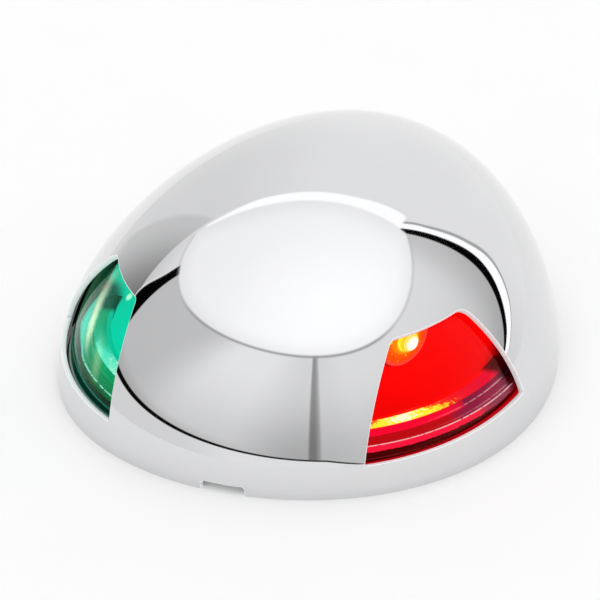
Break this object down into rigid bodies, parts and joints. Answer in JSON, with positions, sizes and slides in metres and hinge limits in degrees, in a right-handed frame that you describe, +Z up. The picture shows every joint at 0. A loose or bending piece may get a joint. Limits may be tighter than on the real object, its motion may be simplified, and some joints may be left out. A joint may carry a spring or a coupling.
{
  "type": "navigation light",
  "caption": "Low bi-colour bow light: a polished egg-plan dome cover with a red port window and a green starboard window over a sealed lamp module on a moulded foot.",
  "frame": {"origin": "middle of the footprint on the mounting surface", "axes": "+Z up from the deck, -Y towards the bow, +X to port (red side)"},
  "size_m": [0.0838, 0.0999, 0.034],
  "materials": {
    "polished_metal": "mirror polished stainless sheet",
    "red_lens": "clear red moulded lens",
    "green_lens": "clear green moulded lens",
    "black_plastic": "fine moulded grain",
    "grey_plastic": "fine moulded grain",
    "white_plastic": "smooth moulded white",
    "black_rubber": "dull moulded elastomer",
    "foam_pad": "closed-cell foam",
    "bare_aluminium": "rolled sheet, folded",
    "steel_screws": "plain stainless",
    "circuit_board": "green solder mask",
    "led_board_white": "white solder mask",
    "led_red_glow": "lit LED package",
    "led_green_glow": "lit LED package",
    "black_chip": "moulded package",
    "copper_coil": "enamelled copper winding",
    "can_metal": "drawn can",
    "terminal_plastic": "moulded terminal body",
    "terminal_metal": "plated brass",
    "lead_jacket": "vinyl lead jacket"
  },
  "bodies": {
    "base": {"base_pad": "foam_pad", "base_plate": "grey_plastic", "grip_band": "black_rubber", "housing_seal": "black_rubber", "cable_grommet": "black_rubber", "light_housing": "black_plastic", "led_bracket_screws": "steel_screws", "driver_board": "circuit_board", "driver_board_screws": "steel_screws", "driver_chip": "black_chip", "power_coil": "copper_coil", "smoothing_capacitor": "can_metal", "input_diode": "black_chip", "resistors": "black_chip", "terminal_block": "terminal_plastic", "terminal_screws": "terminal_metal", "housing_screws": "steel_screws", "port_lens": "red_lens", "starboard_lens": "green_lens", "port_reflector": "white_plastic", "starboard_reflector": "white_plastic", "port_led_bracket": "bare_aluminium", "starboard_led_bracket": "bare_aluminium", "port_led_board": "led_board_white", "starboard_led_board": "led_board_white", "port_led": "led_red_glow", "starboard_led": "led_green_glow", "port_led_lead": "lead_jacket", "starboard_led_lead": "lead_jacket"},
    "cover": {"cover": "polished_metal"}
  },
  "joints": [
    {"name": "cover_lift", "type": "slide", "parent": "base", "child": "cover", "axis": [0, 0, 1], "range_m": [0, 0.045]}
  ]
}
